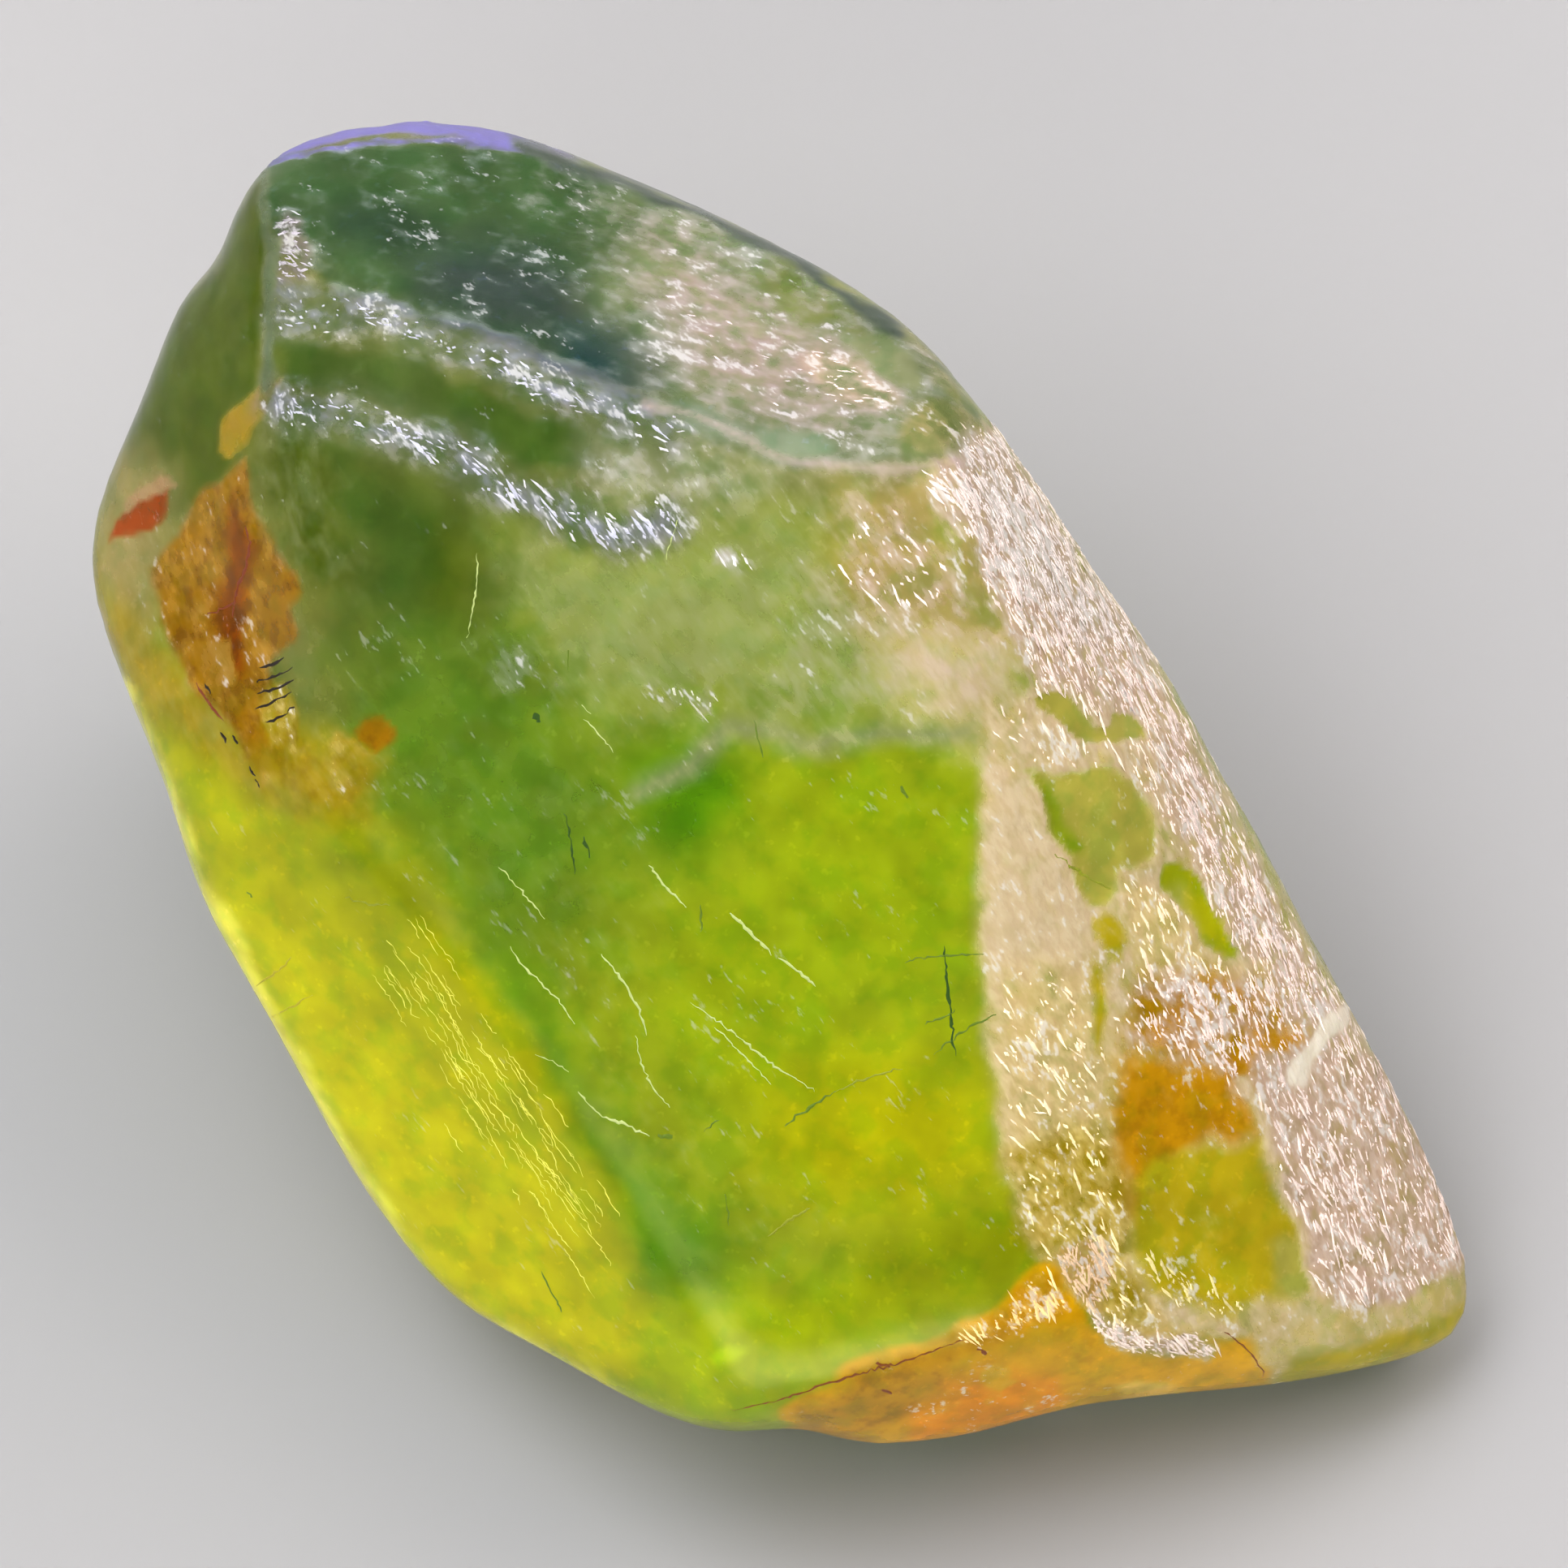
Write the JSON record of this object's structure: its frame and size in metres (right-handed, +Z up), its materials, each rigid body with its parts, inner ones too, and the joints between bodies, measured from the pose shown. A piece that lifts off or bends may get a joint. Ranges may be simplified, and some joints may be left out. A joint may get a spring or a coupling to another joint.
{
  "type": "peridot crystal",
  "caption": "Rough water-worn peridot crystal, green and see-through, with worn facets and iron stains, lying on its flat underside.",
  "frame": {"origin": "middle of the base box of the stone, on the plane it rests on", "axes": "+X along the stone's long axis towards its thin end, +Z up from the flat underside"},
  "size_m": [0.0286, 0.0168, 0.0136],
  "materials": {
    "peridot": "clear to frosted olive green, worn, IOR 1.67"
  },
  "bodies": {
    "root": {"peridot_crystal": "peridot"}
  },
  "joints": []
}
